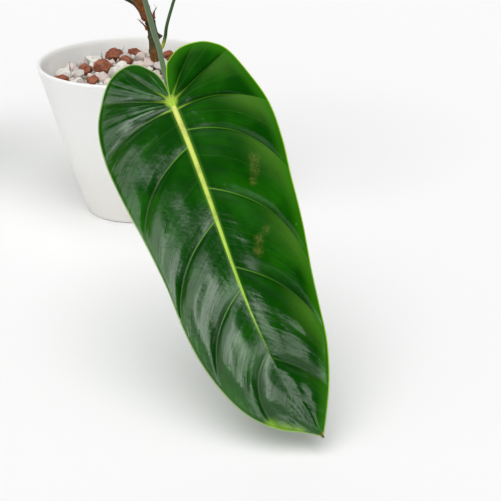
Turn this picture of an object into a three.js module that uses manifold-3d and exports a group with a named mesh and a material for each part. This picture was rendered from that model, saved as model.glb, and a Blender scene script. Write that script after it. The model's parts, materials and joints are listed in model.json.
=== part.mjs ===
import * as THREE from 'three';
import { mergeVertices } from 'three/addons/utils/BufferGeometryUtils.js';
import Module from 'manifold-3d';

// A potted philodendron: a plain tapered pot filled with pumice and lava stones, a short stem,
// and three heart-shaped leaves on long petioles, the largest hanging well forward of the pot.
// Millimetres, +Z up, -Y towards the viewer. The origin is the centre of the pot's base.

const wasm = await Module();
wasm.setup();

// Driving dimensions. GAP is the space left between pieces that stand in or against one another.
const GAP = 0.35;
const POT = {
  height: 150, rimRadius: 89, footRadius: 52.5, wall: 4, floor: 5, footRound: 2.2, rimRound: 1.4,
  cornerRun: 4, cornerRise: 5, drainHoles: 4, drainRadius: 5, drainCircle: 27, facets: 48,
};

// The bed rises from its edge to the middle, and to a heap behind it. Its filling lies a little
// under the stones.
const BED = {
  edgeZ: 130, middleZ: 134, heap: 7, heapY: 45, heapSpread: 49, wallSpace: 0.25, facets: 48,
  fillSink: 2.5, fillShare: 0.6, heapFill: { y: 40, width: 49, depth: 39, rise: 11 },
};
const STEM = {
  radius: 3.6, footSwell: 2.9, nodeSwell: 0.7, nodes: 4, nodeShift: 0.1, tipStart: 0.9, tipShare: 0.12,
  standRoom: 5.3, holeDepth: 4, sides: 10, steps: 22,
};
const STALK = { footSwell: 0.27, footShare: 12, sides: 8, midribSteps: 16 };
const MIDRIB = { bow: 9.5, bowPower: 1.7, tipRadius: 0.75, standsOut: 0.35, firstPoint: 6, pointStep: 21 };

// A blade is arched along the midrib and falls off to both sides like a roof. Each bay between two
// veins bulges, steeply past its first vein and gently towards the next.
const BLADE = {
  length: 241, halfWidth: 57, thickness: 0.9, arch: 14, droop: 10, roofShare: 0.4, reach: 0.6,
  overlap: 0.4, veinSpans: 8, waveHeight: 1.3, waveTurn: 2.2,
};
const QUILT = {
  depth: 3, lean: 0.7, fold: 0.7, level: 0.4, least: 0.25, fullFrom: 3, fadeOver: 1.5,
  riseShare: 0.25, fallShare: 0.5,
};

// The two halves of a blade, seen from above with the tip down. Each row is half a vein interval
// further from the sinus to the tip, so every second row is a main vein. The columns are where the
// vein leaves the midrib, its angle there from the midrib, and where it meets the margin, along and
// across the midrib.
const RIGHT_ROWS = [
  [0, 171, -26, 7.8], [0, 157, -32.4, 18.8], [0, 141, -32.6, 32], [0, 127, -28.6, 41.6],
  [1, 114, -19.3, 49.6], [3, 106, 1.5, 55.4], [7, 98, 26, 59.3], [13, 88, 52, 57], [22, 80, 76, 52],
  [40, 69, 108, 45.8], [63, 61, 139, 38], [90, 58, 162, 33], [117, 55, 182, 28.8],
  [148, 53, 198, 23.4], [180, 50, 213, 16.8], [208, 38, 229, 7.8], [241, 30, 241, 0],
];
const LEFT_ROWS = [
  [0, 190, -24, -2], [0, 164, -34, -10.5], [0, 145, -36, -20.8], [0, 130, -31.8, -32.8],
  [1, 118, -20, -44], [3, 106, -3.6, -53.4], [6, 95, 19.6, -57.3], [17, 85, 48, -56.5],
  [33, 74, 80, -53.8], [56, 68, 111, -52.5], [85, 66, 141, -53.8], [110, 66, 166.4, -52.3],
  [132, 63, 190.6, -46.7], [154, 58, 209.6, -38], [175, 55, 224, -25], [206, 45, 233.4, -10],
  [241, 30, 241, 0],
];

// Each leaf has its petiole's route, the petiole's radius at the foot and at the blade, and the
// blade's place: where the petiole meets it, the direction of the midrib and of its upper face.
const LEAVES = {
  leaf_front: {
    route: [
      [9.5, 26, 207.5], [12.5, 8, 214.5], [16.5, -17, 220], [20.5, -47, 223], [25.5, -77, 222.5],
      [34.5, -127, 218], [41.5, -167, 215], [47.5, -199, 213.5], [52, -227, 211], [57, -257, 207.5],
    ],
    foot: 2.6, neck: 1.8, steps: 30, rowsPerVein: 4, columns: 6, scale: 1, base: [63.6, -296.8, 202.7],
    along: [0.413, -0.464, -0.784], up: [-0.016, -0.864, 0.503], color: 0x2c6a1c,
  },
  leaf_left: {
    route: [
      [14.5, 27, 183.5], [10.5, 27, 192.5], [4.5, 28, 199], [-4, 29, 203.5], [-18, 31, 209.5],
      [-52.5, 35, 227.5], [-92.5, 43, 248.5], [-124.5, 51, 260.5],
    ],
    foot: 3.9, neck: 2, steps: 16, rowsPerVein: 2, columns: 5, scale: 0.9, base: [-152.5, 59.2, 263.6],
    along: [-0.72, 0.24, -0.65], up: [-0.55, -0.35, 0.76], color: 0x24571b,
  },
  leaf_right: {
    route: [
      [21.5, 27, 148.5], [28.5, 27, 154.5], [32, 28, 164.5], [34, 28, 175.5], [42, 29, 200.5],
      [54.5, 33, 236.5], [75.5, 40, 285.5], [101.5, 49, 325.5],
    ],
    foot: 1.6, neck: 1.15, steps: 18, rowsPerVein: 2, columns: 5, scale: 0.74, base: [127.5, 57.2, 344.6],
    along: [0.66, 0.3, -0.69], up: [0.45, -0.5, 0.74], color: 0x357a20,
  },
};

// The stem's centre line, from its foot in the bed to its tip
const STEM_ROUTE = [
  [23, 29, 109.5], [22.5, 29, 131.5], [21, 29, 151.5], [20, 28, 169.5], [16.5, 28, 185.5],
  [11.5, 27, 199.5], [7.5, 27, 212.5], [4.5, 26, 223.5],
];

// Torn sheaths that wrap the stem: their height on it, the way they face, how far round they
// reach, how far the pointed tip leans out, and how many other sheaths lie under it. Angles are in
// degrees from +X towards +Y.
const SHEATHS = {
  sheath_tip: { low: 181, high: 215, facing: -116, reach: 74, lean: 2.5, points: 3, layer: 0 },
  sheath_left: { low: 172, high: 183, facing: 200, reach: 36, lean: 6, points: 1, layer: 0 },
  sheath_right: { low: 183, high: 194, facing: -4, reach: 32, lean: 6, points: 1, layer: 0 },
};
const SHEATH = { thickness: 0.9, tear: 0.24, sideDrop: 0.3, narrowing: 0.55, rows: 8 };

// The lava stones that show best lie at places of their own; the others are drawn at random.
const LAVA_PLACES = [
  [-22, 51, 11], [-28, 13, 10], [-8, 29, 7.5], [-47, 14, 8], [-34, -21, 6.5], [-2, 62, 7.5],
  [32, 60, 7.5], [43, 18, 6.5],
];

// Stones on a triangular grid, from which each strays a little. Sizes are radii in millimetres;
// the lifts, roughness and proportions are in radii, and the distances apart in both radii together.
const STONES = {
  seed: 20417, step: 16, rowShare: 0.87, stray: 0.3, gridReach: 6, rimReach: 5,
  lavaDrawn: 10, lavaShare: 0.22, lavaInwards: 0.96, lavaApart: 1.2, pumiceApart: 0.75,
  lavaSize: [6.5, 9.5], pumiceSize: [7, 9.5], pumiceBall: 1.06, lavaLift: 0.18, pumiceLift: -0.05,
  roughness: [0.84, 1.16], proportions: [1.08, 1, 0.82], tilt: 0.5, hollowGaps: 1.4,
};

const COLORS = { pot: 0xecebe8, pumice: 0xd6cfc8, lava: 0x8a5340, stem: 0x5b5330, sheath: 0x8f5a30 };

// A small seeded generator, so each build draws the same stones
function randomFrom(seed) {
  let state = seed;
  return () => {
    state = (state * 1664525 + 1013904223) % 4294967296;
    return state / 4294967296;
  };
}

function vector([x, y, z]) {
  return new THREE.Vector3(x, y, z);
}

function routeCurve(points) {
  return new THREE.CatmullRomCurve3(points.map(vector), false, 'centripetal');
}

// Solids for joining and cutting

function solidOf(geometry) {
  const bare = geometry.clone();
  bare.deleteAttribute('normal');
  bare.deleteAttribute('uv');
  const merged = mergeVertices(bare, 1e-4);
  const triangles = [];
  const index = merged.index.array;
  for (let i = 0; i < index.length; i += 3) {
    const [a, b, c] = [index[i], index[i + 1], index[i + 2]];
    if (a !== b && b !== c && c !== a) triangles.push(a, b, c);
  }
  return new wasm.Manifold(new wasm.Mesh({
    numProp: 3,
    vertProperties: new Float32Array(merged.attributes.position.array),
    triVerts: new Uint32Array(triangles),
  }));
}

function geometryOf(solid) {
  const mesh = solid.getMesh();
  const geometry = new THREE.BufferGeometry();
  const positions = new Float32Array(mesh.numVert * 3);
  for (let i = 0; i < mesh.numVert; i += 1) {
    for (let k = 0; k < 3; k += 1) positions[i * 3 + k] = mesh.vertProperties[i * mesh.numProp + k];
  }
  geometry.setAttribute('position', new THREE.BufferAttribute(positions, 3));
  geometry.setIndex(new THREE.BufferAttribute(new Uint32Array(mesh.triVerts), 1));
  return geometry;
}

// Only the outer skin of the largest body: hollows sealed between stones are filled in
function outerBody(solid) {
  return solid.decompose().reduce((best, piece) => (piece.volume() > best.volume() ? piece : best));
}

function namedMesh(name, geometry, color, roughness) {
  const shown = geometry.index ? geometry.toNonIndexed() : geometry;
  shown.computeVertexNormals();
  const mesh = new THREE.Mesh(
    shown,
    new THREE.MeshStandardMaterial({ color, roughness, metalness: 0 }),
  );
  mesh.name = name;
  return mesh;
}

// A closed skin over a grid of outer points and a grid of inner points of the same size
function closedSheet(outer, inner) {
  const rows = outer.length;
  const columns = outer[0].length;
  const points = [...outer.flat(), ...inner.flat()];
  const at = (side, i, j) => side * rows * columns + i * columns + j;
  const index = [];
  const quad = (a, b, c, d) => index.push(a, b, c, a, c, d);
  for (let i = 0; i + 1 < rows; i += 1) {
    for (let j = 0; j + 1 < columns; j += 1) {
      quad(at(0, i, j), at(0, i, j + 1), at(0, i + 1, j + 1), at(0, i + 1, j));
      index.push(at(1, i, j), at(1, i + 1, j + 1), at(1, i, j + 1));
      index.push(at(1, i, j), at(1, i + 1, j), at(1, i + 1, j + 1));
    }
    quad(at(0, i, 0), at(0, i + 1, 0), at(1, i + 1, 0), at(1, i, 0));
    quad(at(0, i + 1, columns - 1), at(0, i, columns - 1), at(1, i, columns - 1), at(1, i + 1, columns - 1));
  }
  for (let j = 0; j + 1 < columns; j += 1) {
    quad(at(0, 0, j + 1), at(0, 0, j), at(1, 0, j), at(1, 0, j + 1));
    quad(at(0, rows - 1, j), at(0, rows - 1, j + 1), at(1, rows - 1, j + 1), at(1, rows - 1, j));
  }
  const geometry = new THREE.BufferGeometry().setFromPoints(points);
  geometry.setIndex(index);
  return geometry;
}

// A round tube along a curve whose radius changes from its start (t = 0) to its end (t = 1)
function taperedTube(curve, radiusAt, sides, steps) {
  const frames = curve.computeFrenetFrames(steps, false);
  const points = [];
  for (let i = 0; i <= steps; i += 1) {
    const centre = curve.getPointAt(i / steps);
    for (let k = 0; k < sides; k += 1) {
      const turn = (2 * Math.PI * k) / sides;
      points.push(centre.clone()
        .addScaledVector(frames.normals[i], radiusAt(i / steps) * Math.cos(turn))
        .addScaledVector(frames.binormals[i], radiusAt(i / steps) * Math.sin(turn)));
    }
  }
  const index = [];
  const at = (i, k) => i * sides + (k % sides);
  for (let i = 0; i < steps; i += 1) {
    for (let k = 0; k < sides; k += 1) {
      index.push(at(i, k), at(i, k + 1), at(i + 1, k + 1), at(i, k), at(i + 1, k + 1), at(i + 1, k));
    }
  }
  for (let k = 1; k + 1 < sides; k += 1) {
    index.push(at(0, 0), at(0, k + 1), at(0, k));
    index.push(at(steps, 0), at(steps, k), at(steps, k + 1));
  }
  const geometry = new THREE.BufferGeometry().setFromPoints(points);
  geometry.setIndex(index);
  return geometry;
}

// Pot

function buildPot() {
  const { height, rimRadius, footRadius, wall, floor } = POT;
  const { footRound, rimRound, cornerRun, cornerRise } = POT;
  const outside = (z) => footRadius + ((rimRadius - footRadius) / height) * z;
  const inside = (z) => outside(z) - wall;
  const profile = [
    [0, 0], [footRadius - footRound, 0], [outside(footRound), footRound],
    [outside(height - rimRound), height - rimRound], [rimRadius - rimRound, height],
    [inside(height) + rimRound, height], [inside(height - rimRound), height - rimRound],
    [inside(floor + cornerRise), floor + cornerRise], [inside(floor) - cornerRun, floor], [0, floor],
  ].map(([r, z]) => new THREE.Vector2(r, z));
  const shell = new THREE.LatheGeometry(profile, POT.facets).rotateX(Math.PI / 2);
  let solid = solidOf(shell);
  for (let i = 0; i < POT.drainHoles; i += 1) {
    const turn = (2 * Math.PI * (i + 0.5)) / POT.drainHoles;
    const drill = new THREE.CylinderGeometry(POT.drainRadius, POT.drainRadius, 4 * floor, 12)
      .rotateX(Math.PI / 2)
      .translate(POT.drainCircle * Math.cos(turn), POT.drainCircle * Math.sin(turn), 0);
    solid = solid.subtract(solidOf(drill));
  }
  return solid;
}

// Stones

// A stone is a faceted ball with each corner pushed in or out at random and flattened a little.
function stoneGeometry(ball, radius, random) {
  const stone = mergeVertices(ball.deleteAttribute('normal').deleteAttribute('uv'));
  const corners = stone.attributes.position;
  for (let i = 0; i < corners.count; i += 1) {
    const push = radius * THREE.MathUtils.lerp(...STONES.roughness, random());
    const corner = new THREE.Vector3().fromBufferAttribute(corners, i).multiplyScalar(push);
    corner.multiply(vector(STONES.proportions));
    corners.setXYZ(i, corner.x, corner.y, corner.z);
  }
  return stone;
}

function bedHeight(x, y) {
  const out = Math.min(1, Math.hypot(x, y) / POT.rimRadius);
  const heap = BED.heap * Math.exp(-((x ** 2 + (y - BED.heapY) ** 2) / BED.heapSpread ** 2));
  return BED.middleZ + (BED.edgeZ - BED.middleZ) * out * out + heap;
}

function insideRadius(z) {
  const slope = (POT.rimRadius - POT.footRadius) / POT.height;
  return POT.footRadius + slope * z - POT.wall - GAP - BED.wallSpace;
}

// Places for all the stones: the named lava stones, then a jittered triangular grid
function stonePlaces(random) {
  const { step, stray, gridReach, lavaApart, pumiceApart } = STONES;
  const places = LAVA_PLACES.map(([x, y, r]) => ({ x, y, r, lava: true }));
  const apart = (a, b, share) => Math.hypot(a.x - b.x, a.y - b.y) > share * (a.r + b.r);
  const grid = [];
  for (let row = -gridReach; row <= gridReach; row += 1) {
    for (let column = -gridReach; column <= gridReach; column += 1) {
      const x = step * (column + (row % 2 ? 0.5 : 0)) + step * stray * (random() - 0.5);
      const y = step * STONES.rowShare * row + step * stray * (random() - 0.5);
      const r = THREE.MathUtils.lerp(...STONES.pumiceSize, random());
      const rim = insideRadius(bedHeight(x, y) - r) - r;
      const inwards = Math.min(1, rim / Math.hypot(x, y));
      if (Math.hypot(x, y) < rim + STONES.rimReach) grid.push({ x: x * inwards, y: y * inwards, r });
    }
  }
  let drawn = 0;
  const foot = { x: STEM_ROUTE[1][0], y: STEM_ROUTE[1][1], r: STEM.standRoom };
  for (const place of grid) {
    const lavaSoFar = places.filter((other) => other.lava);
    const turnsLava = random() < STONES.lavaShare && drawn < STONES.lavaDrawn;
    const radius = THREE.MathUtils.lerp(...STONES.lavaSize, random());
    const [x, y] = [place.x * STONES.lavaInwards, place.y * STONES.lavaInwards];
    const asLava = { x, y, r: radius, lava: true };
    const clear = apart(asLava, foot, 1) && lavaSoFar.every((other) => apart(asLava, other, lavaApart));
    if (turnsLava && clear) {
      places.push(asLava);
      drawn += 1;
    } else if (lavaSoFar.every((other) => apart(place, other, pumiceApart))) {
      places.push({ ...place, lava: false });
    }
  }
  return places;
}

function buildStones() {
  const random = randomFrom(STONES.seed);
  const places = stonePlaces(random);
  const floorZ = POT.floor + GAP;
  const cornerZ = floorZ + POT.cornerRise;
  const fillZ = BED.edgeZ - BED.fillSink;
  const foot = [
    [0, floorZ], [insideRadius(POT.floor) - POT.cornerRun - GAP, floorZ], [insideRadius(cornerZ), cornerZ],
  ];
  const lathe = (profile) => solidOf(new THREE.LatheGeometry(
    profile.map(([r, z]) => new THREE.Vector2(r, z)),
    BED.facets,
  ).rotateX(Math.PI / 2));
  let bed = lathe([
    ...foot, [insideRadius(fillZ), fillZ],
    [insideRadius(BED.edgeZ) * BED.fillShare, BED.middleZ - BED.fillSink], [0, BED.middleZ],
  ]);
  const { y: heapFillY, width, depth, rise } = BED.heapFill;
  const heap = new THREE.SphereGeometry(1, 20, 10).rotateX(Math.PI / 2).scale(width, depth, rise);
  bed = bed.add(solidOf(heap.translate(0, heapFillY, fillZ)));
  const lavaStones = [];
  const { pumiceBall, lavaLift, pumiceLift, tilt, hollowGaps } = STONES;
  for (const { x, y, r, lava } of places) {
    const ball = lava ? new THREE.DodecahedronGeometry(1, 0) : new THREE.IcosahedronGeometry(pumiceBall, 0);
    const stone = stoneGeometry(ball, r, random);
    const turn = new THREE.Euler(
      tilt * (random() - 0.5),
      tilt * (random() - 0.5),
      2 * Math.PI * random(),
    );
    const at = new THREE.Vector3(x, y, bedHeight(x, y) + r * (lava ? lavaLift : pumiceLift));
    const place = new THREE.Matrix4().makeRotationFromEuler(turn).setPosition(at);
    if (lava) lavaStones.push({ stone, turn, at, place, r });
    else bed = bed.add(solidOf(stone.clone().applyMatrix4(place)));
  }
  bed = bed.intersect(lathe([...foot, [insideRadius(POT.height), POT.height], [0, POT.height]]));
  // Each lava stone lies in a hollow of its own shape, a little wider than the stone.
  for (const { stone, place, r } of lavaStones) {
    const wider = 1 + (hollowGaps * GAP) / r;
    const hollow = stone.clone().scale(wider, wider, wider).applyMatrix4(place);
    bed = bed.subtract(solidOf(hollow));
  }
  return { bed, lavaStones };
}

// Stem

const stemCurve = routeCurve(STEM_ROUTE);

// Slightly swollen at each node, and rounded off at the tip
function stemRadius(t) {
  const { radius, footSwell, nodeSwell, nodes, nodeShift, tipStart, tipShare } = STEM;
  const swell = nodeSwell * Math.cos(2 * Math.PI * (t * nodes + nodeShift)) ** 8;
  const past = Math.max(0, (t - tipStart) / (1 - tipStart));
  const tip = tipShare + (1 - tipShare) * Math.sqrt(Math.max(0, 1 - past ** 2));
  return (radius + footSwell * (1 - t) + swell) * tip;
}

function stemSolid(extra) {
  return solidOf(taperedTube(stemCurve, (t) => stemRadius(t) + extra, STEM.sides, STEM.steps));
}

// The hole that the stem stands in is a little wider and deeper than the stem.
function stemHole() {
  const [x, y, z] = STEM_ROUTE[0];
  const radius = stemRadius(0) + GAP;
  const bottom = new THREE.CylinderGeometry(radius, radius, 2 * STEM.holeDepth, STEM.sides)
    .rotateX(Math.PI / 2);
  return stemSolid(GAP).add(solidOf(bottom.translate(x, y, z)));
}

function stemPointAt(z) {
  let [low, high] = [0, 1];
  for (let i = 0; i < 30; i += 1) {
    const middle = (low + high) / 2;
    if (stemCurve.getPointAt(middle).z < z) low = middle;
    else high = middle;
  }
  return { t: low, point: stemCurve.getPointAt(low) };
}

// Old sheaths

function buildSheath({ low, high, facing, reach, lean, points, layer }) {
  const { thickness, rows } = SHEATH;
  const columns = 2 * points + 7;
  const clear = 2 * GAP + layer * (thickness + GAP);
  const outer = [];
  const inner = [];
  for (let i = 0; i < rows; i += 1) {
    const outerRow = [];
    const innerRow = [];
    for (let j = 0; j < columns; j += 1) {
      const across = (2 * j) / (columns - 1) - 1;
      // The torn edge ends in points, so the rows are squeezed between them.
      const tear = points > 1 ? SHEATH.tear * Math.abs(Math.cos((Math.PI * points * across) / 2)) : 0;
      const up = (i / (rows - 1)) * (1 - SHEATH.sideDrop * across ** 2 - tear);
      const { t, point } = stemPointAt(low + (high - low) * up);
      const width = reach * (1 - SHEATH.narrowing * up ** 2);
      const turn = THREE.MathUtils.degToRad(facing + width * across);
      const offset = stemRadius(t) + clear + lean * up ** 2;
      const way = new THREE.Vector3(Math.cos(turn), Math.sin(turn), 0);
      outerRow.push(point.clone().addScaledVector(way, offset + thickness));
      innerRow.push(point.clone().addScaledVector(way, offset));
    }
    outer.push(outerRow);
    inner.push(innerRow);
  }
  return solidOf(closedSheet(outer, inner));
}

// Leaves

function midribBow(along) {
  const t = THREE.MathUtils.clamp(along / BLADE.length, 0, 1);
  return -MIDRIB.bow * Math.sin(Math.PI * t ** MIDRIB.bowPower);
}

// A row of the table at any place between the sinus (v = 0) and the tip, by a Catmull-Rom spline
function rowAt(rows, v) {
  const place = Math.min(2 * v, rows.length - 1.0001);
  const i = Math.floor(place);
  const f = place - i;
  const [before, from, to, after] = [i - 1, i, i + 1, i + 2].map(
    (k) => rows[THREE.MathUtils.clamp(k, 0, rows.length - 1)],
  );
  return from.map((_, k) => 0.5 * (2 * from[k] + (to[k] - before[k]) * f
    + (2 * before[k] - 5 * from[k] + 4 * to[k] - after[k]) * f * f
    + (3 * from[k] - before[k] - 3 * to[k] + after[k]) * f ** 3));
}

// A point of the blade's upper face in its own flat frame: along and across the midrib, and up.
// v runs from the sinus to the tip, q from the midrib along a vein to the margin.
function bladePoint(rows, side, v, q) {
  const [root, angle, marginAlong, marginAcross] = rowAt(rows, v);
  const start = new THREE.Vector2(root, midribBow(root) - side * BLADE.overlap);
  const end = new THREE.Vector2(marginAlong, marginAcross);
  const lean = THREE.MathUtils.degToRad(angle);
  const reach = BLADE.reach * start.distanceTo(end);
  const via = new THREE.Vector2(start.x + reach * Math.cos(lean), start.y + side * reach * Math.sin(lean));
  const spot = new THREE.QuadraticBezierCurve(start, via, end).getPoint(q);
  const out = Math.abs(spot.y - midribBow(spot.x)) / BLADE.halfWidth;
  const body = BLADE.arch * Math.sin((Math.PI * spot.x) / BLADE.length)
    - BLADE.droop * (BLADE.roofShare * out + (1 - BLADE.roofShare) * out ** 2);
  const wave = BLADE.waveHeight * q ** 2 * Math.sin(BLADE.waveTurn * v + side);
  return [spot.x, spot.y, body + quiltHeight(v, q) + wave];
}

function quiltHeight(v, q) {
  const { smoothstep, lerp } = THREE.MathUtils;
  const toTip = smoothstep(BLADE.veinSpans - v, 0, QUILT.fadeOver);
  const strength = lerp(QUILT.least, 1, smoothstep(v, 0, QUILT.fullFrom) * toTip);
  const fold = Math.abs(Math.sin(Math.PI * (v % 1) ** QUILT.lean)) ** QUILT.fold - QUILT.level;
  const swell = smoothstep(q, 0, QUILT.riseShare) * smoothstep(1 - q, 0, QUILT.fallShare);
  return QUILT.depth * strength * fold * swell;
}

// The blade's own axes in the part: along the midrib, across to the right, and up
function bladeAxes({ along, up }) {
  const axisAlong = vector(along).normalize();
  const wish = vector(up);
  const axisUp = wish.addScaledVector(axisAlong, -wish.dot(axisAlong)).normalize();
  return { axisAlong, axisUp, axisAcross: new THREE.Vector3().crossVectors(axisUp, axisAlong) };
}

function placeOnBlade(leaf, [along, across, height], lift) {
  const { axisAlong, axisAcross, axisUp } = bladeAxes(leaf);
  return vector(leaf.base)
    .addScaledVector(axisAlong, leaf.scale * along)
    .addScaledVector(axisAcross, leaf.scale * across)
    .addScaledVector(axisUp, leaf.scale * height + lift);
}

function bladeHalf(leaf, rows, side) {
  const [upper, lower] = [[], []];
  const rowCount = BLADE.veinSpans * leaf.rowsPerVein;
  for (let i = 0; i <= rowCount; i += 1) {
    const [upperRow, lowerRow] = [[], []];
    for (let j = 0; j <= leaf.columns; j += 1) {
      const spot = bladePoint(rows, side, i / leaf.rowsPerVein, j / leaf.columns);
      upperRow.push(placeOnBlade(leaf, spot, 0));
      lowerRow.push(placeOnBlade(leaf, spot, -BLADE.thickness));
    }
    upper.push(upperRow);
    lower.push(lowerRow);
  }
  return side > 0 ? closedSheet(lower, upper) : closedSheet(upper, lower);
}

// The petiole runs on into the midrib, which stands a little out of the upper face.
function stalkCurve(leaf) {
  const points = leaf.route.map(vector);
  for (let along = MIDRIB.firstPoint; along < BLADE.length; along += MIDRIB.pointStep) {
    const height = BLADE.arch * Math.sin((Math.PI * along) / BLADE.length);
    const lift = MIDRIB.standsOut - midribRadius(leaf, along);
    points.push(placeOnBlade(leaf, [along, midribBow(along), height], lift));
  }
  points.push(placeOnBlade(leaf, [BLADE.length, 0, 0], -BLADE.thickness / 2));
  return new THREE.CatmullRomCurve3(points, false, 'centripetal');
}

function midribRadius(leaf, along) {
  return THREE.MathUtils.lerp(leaf.neck, MIDRIB.tipRadius, Math.min(1, along / BLADE.length));
}

function stalkSolid(leaf, extra) {
  const curve = stalkCurve(leaf);
  const bladeShare = (BLADE.length * leaf.scale) / curve.getLength();
  const radiusAt = (t) => {
    const onBlade = (t - (1 - bladeShare)) / bladeShare;
    if (onBlade > 0) return midribRadius(leaf, onBlade * BLADE.length) + extra;
    const onPetiole = t / (1 - bladeShare);
    const swell = STALK.footSwell * Math.exp(-onPetiole * STALK.footShare);
    return THREE.MathUtils.lerp(leaf.foot, leaf.neck, onPetiole) * (1 + swell) + extra;
  };
  return solidOf(taperedTube(curve, radiusAt, STALK.sides, leaf.steps + STALK.midribSteps));
}

function buildLeaf(leaf) {
  const whole = stalkSolid(leaf, 0)
    .add(solidOf(bladeHalf(leaf, RIGHT_ROWS, 1)))
    .add(solidOf(bladeHalf(leaf, LEFT_ROWS, -1)))
    .subtract(stemSolid(GAP));
  return outerBody(whole);
}

// The whole plant in its pot

const plant = new THREE.Group();
plant.add(namedMesh('pot', geometryOf(buildPot()), COLORS.pot, 0.4));

const { bed, lavaStones } = buildStones();
const plantedBed = outerBody(bed.subtract(stemHole()).subtract(stalkSolid(LEAVES.leaf_right, GAP)));
plant.add(namedMesh('pumice_bed', geometryOf(plantedBed), COLORS.pumice, 0.9));

const lavaGroup = new THREE.Group();
lavaStones.forEach(({ stone, turn, at }, i) => {
  const mesh = namedMesh(`lava_stone_${String(i + 1).padStart(2, '0')}`, stone, COLORS.lava, 0.95);
  mesh.rotation.copy(turn);
  mesh.position.copy(at);
  lavaGroup.add(mesh);
});
plant.add(lavaGroup);

plant.add(namedMesh('stem', geometryOf(stemSolid(0)), COLORS.stem, 0.7));

for (const [name, leaf] of Object.entries(LEAVES)) {
  plant.add(namedMesh(name, geometryOf(buildLeaf(leaf)), leaf.color, 0.3));
}

for (const [name, sheath] of Object.entries(SHEATHS)) {
  let solid = buildSheath(sheath);
  for (const leaf of Object.values(LEAVES)) solid = solid.subtract(stalkSolid(leaf, GAP));
  plant.add(namedMesh(name, geometryOf(outerBody(solid)), COLORS.sheath, 0.85));
}

export default plant;
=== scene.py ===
import json
import math
import random

import bmesh
import bpy
import numpy as np
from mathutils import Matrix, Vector, noise

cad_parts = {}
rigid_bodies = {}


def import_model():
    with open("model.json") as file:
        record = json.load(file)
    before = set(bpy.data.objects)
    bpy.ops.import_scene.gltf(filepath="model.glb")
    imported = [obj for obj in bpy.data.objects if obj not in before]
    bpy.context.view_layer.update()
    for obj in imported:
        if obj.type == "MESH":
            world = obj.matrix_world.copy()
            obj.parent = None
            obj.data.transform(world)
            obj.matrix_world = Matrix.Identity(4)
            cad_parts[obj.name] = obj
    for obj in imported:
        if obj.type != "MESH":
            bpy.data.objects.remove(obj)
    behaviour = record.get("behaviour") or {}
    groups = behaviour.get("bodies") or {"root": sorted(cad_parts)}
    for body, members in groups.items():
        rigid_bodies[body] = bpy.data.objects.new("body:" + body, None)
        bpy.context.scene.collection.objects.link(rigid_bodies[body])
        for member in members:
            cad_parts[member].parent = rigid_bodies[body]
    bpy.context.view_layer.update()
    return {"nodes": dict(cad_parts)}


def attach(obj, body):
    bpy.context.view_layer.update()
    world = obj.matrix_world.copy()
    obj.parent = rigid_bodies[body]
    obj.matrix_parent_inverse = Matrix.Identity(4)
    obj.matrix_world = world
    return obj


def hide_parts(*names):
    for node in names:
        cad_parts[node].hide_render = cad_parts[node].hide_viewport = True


# A potted philodendron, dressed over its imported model. The tables are in millimetres, in the
# model's own frame, and every mesh is made in metres.
MM = 0.001
BODY = "root"

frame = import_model()


# Camera and light

# The lens in mm, the place in metres and the tilt in degrees, fitted to the pot and the front blade
LENS, CAMERA_PLACE, CAMERA_TILT = 68.26, (0.116, -0.90125, 0.3952), 63.4
# The daylight from the ceiling: its strength, and in degrees how wide it comes from and how it is turned
DAYLIGHT, DAYLIGHT_SPREAD, DAYLIGHT_TURN = 1.9, 60, (17, -6, 0)
# Bands of the world, by the way from the plant towards them: from, to, and the strength at each
CEILING, BACK_WALL, ROOM = (0.86, 1, 0.02, 0.3), (-0.1, 0.6, 0, 0.5), (0.3, -0.8, 0.38, 0.8)
# The curtained window: its bands along x, upwards and forwards
WINDOW = (-0.07, -0.25), (0.7, 0.45), (-0.15, -0.5, 0, 2.9)
# Soft glows: each one's turn and height as seen from the plant, the angles from there at which it has faded
# out and at which it is full, and its strength
GLOWS = [(-16, 11, 24, 4, 4.3), (10, 4, 14, 4, 4), (42, 52, 18, 6, 0.3)]
BACKDROP, PAPER_REACH = 0.94, 6


def make_camera():
    data = bpy.data.cameras.new("camera")
    data.lens = LENS
    camera = new_object("camera", data)
    camera.location = CAMERA_PLACE
    camera.rotation_euler = (math.radians(CAMERA_TILT), 0, 0)
    bpy.context.scene.camera = camera


def make_ceiling_light():
    data = bpy.data.lights.new("ceiling_light", "SUN")
    data.energy = DAYLIGHT
    data.angle = math.radians(DAYLIGHT_SPREAD)
    lamp = new_object("ceiling_light", data)
    lamp.rotation_euler = [math.radians(turn) for turn in DAYLIGHT_TURN]
    lamp.visible_glossy = False


# Small helpers for node trees and meshes

def linear(hex_colour):
    parts = [int(hex_colour[i:i + 2], 16) / 255 for i in (1, 3, 5)]
    return tuple(c / 12.92 if c <= 0.04045 else ((c + 0.055) / 1.055) ** 2.4 for c in parts) + (1.0,)


def add(tree, kind, inputs=None, **settings):
    """Adds a node, and links or sets its inputs. A node as a value means its first output, and a word in
    place of a number means what the mesh's points carry under that name."""
    node = tree.nodes.new(kind)
    for name, value in settings.items():
        setattr(node, name, value)
    for key, value in (inputs or {}).items():
        if isinstance(value, str) and node.inputs[key].type != "STRING":
            value = add(tree, "ShaderNodeAttribute", attribute_name=value).outputs["Fac"]
        if isinstance(value, bpy.types.Node):
            value = value.outputs[0]
        if isinstance(value, bpy.types.NodeSocket):
            tree.links.new(value, node.inputs[key])
        else:
            node.inputs[key].default_value = value
    return node


def scale_of(mm):
    """The scale of a pattern with cells of so many millimetres"""
    return 1 / (mm * MM)


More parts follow.
